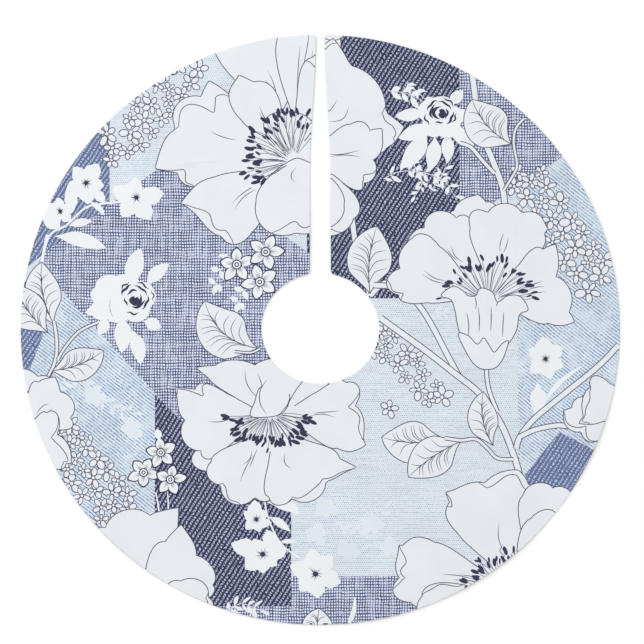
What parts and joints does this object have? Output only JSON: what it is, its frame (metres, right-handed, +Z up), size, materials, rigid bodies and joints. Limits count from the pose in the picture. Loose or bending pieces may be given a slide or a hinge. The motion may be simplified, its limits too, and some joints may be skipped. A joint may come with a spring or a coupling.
{
  "type": "tree skirt",
  "caption": "Round lined cloth tree skirt laid flat, with a neck opening, a slit from neck to rim, a printed face over plain backing, and back quarters that fold forward.",
  "frame": {"origin": "centre of the round outline, on the floor at the underside of the backing cloth", "axes": "+Z up through the layers to the printed face; +Y from the centre along the slit to the rim; +X to the right with the slit away from the viewer"},
  "size_m": [1.118, 1.1178, 0.0022],
  "materials": {
    "face_cloth": "brushed polyester, printed in denim blues and white",
    "backing_cloth": "plain woven off-white lining",
    "stay_tape": "unbleached woven cotton tape",
    "edge_seam": "turned pale cloth edge and sewing thread"
  },
  "bodies": {
    "front_half": {"backing_cloth_front": "backing_cloth", "face_cloth_front": "face_cloth", "rim_tape_front": "stay_tape", "neck_tape_front": "stay_tape"},
    "left_quarter": {"backing_cloth_left": "backing_cloth", "face_cloth_left": "face_cloth", "rim_tape_left": "stay_tape", "neck_tape_left": "stay_tape", "slit_tape_left": "stay_tape"},
    "right_quarter": {"backing_cloth_right": "backing_cloth", "face_cloth_right": "face_cloth", "rim_tape_right": "stay_tape", "neck_tape_right": "stay_tape", "slit_tape_right": "stay_tape"}
  },
  "joints": [
    {"name": "left_fold", "type": "hinge", "parent": "front_half", "child": "left_quarter", "pos_m": [-0.3345, 0, 0.0032], "axis": [1, 0, 0], "range_deg": [0, 172]},
    {"name": "right_fold", "type": "hinge", "parent": "front_half", "child": "right_quarter", "pos_m": [0.3345, 0, 0.0032], "axis": [1, 0, 0], "range_deg": [0, 172]}
  ]
}
